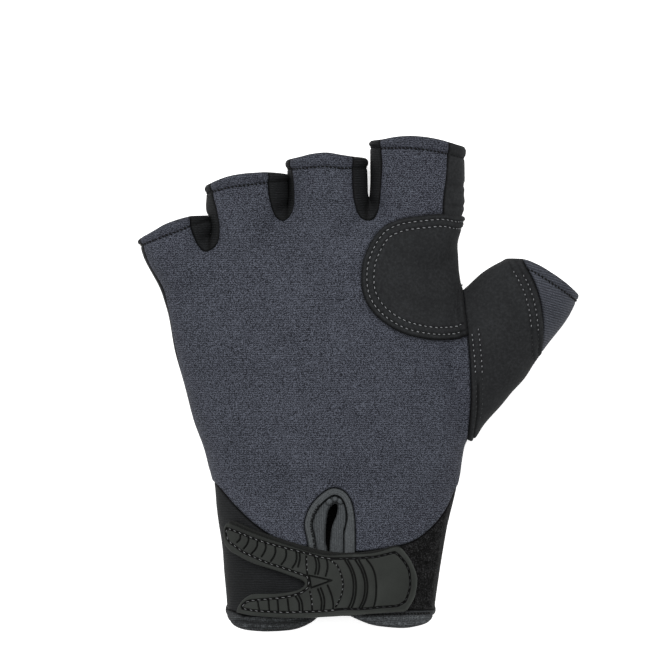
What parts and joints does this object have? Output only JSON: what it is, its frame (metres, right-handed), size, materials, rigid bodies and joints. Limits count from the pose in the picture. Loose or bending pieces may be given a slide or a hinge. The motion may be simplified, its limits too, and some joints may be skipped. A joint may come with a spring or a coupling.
{
  "type": "fingerless neoprene glove",
  "caption": "Fingerless left-hand neoprene glove with a grey knit back, black suede-like palm and a ribbed wrist strap, lying palm down.",
  "frame": {"origin": "the middle of the glove's outline in plan, on the surface that it lies on", "axes": "+Y from the wrist to the fingertips, +X towards the thumb, +Z out of the back of the hand"},
  "size_m": [0.1442, 0.1635, 0.0375],
  "materials": {
    "grey_knit": "fine heathered knit face of neoprene, matt",
    "black_suede": "short napped suede-like cloth, matt",
    "black_jersey": "smooth jersey face of neoprene, matt",
    "loop_pile": "dense brushed loop pile, fuzzy",
    "grey_tape": "woven edge tape, matt",
    "ribbed_knit": "stretch knit with upright ribs, matt",
    "hem_binding": "knit binding, matt",
    "strap_backing": "woven strap backing, matt",
    "moulded_rubber": "moulded soft rubber with grooves, satin"
  },
  "bodies": {
    "root": {"back_panel": "grey_knit", "palm_panel": "black_suede", "gusset_pinky_ring": "black_jersey", "gusset_ring_middle": "black_jersey", "gusset_middle_index": "black_jersey", "web_patch": "black_suede", "thumb_panel": "black_suede", "thumb_back": "grey_knit", "cuff_band": "black_jersey", "loop_panel": "loop_pile", "slit_binding": "grey_tape", "slit_facing": "ribbed_knit", "cuff_hem": "hem_binding", "strap_base": "strap_backing", "strap_tab": "moulded_rubber"}
  },
  "joints": []
}
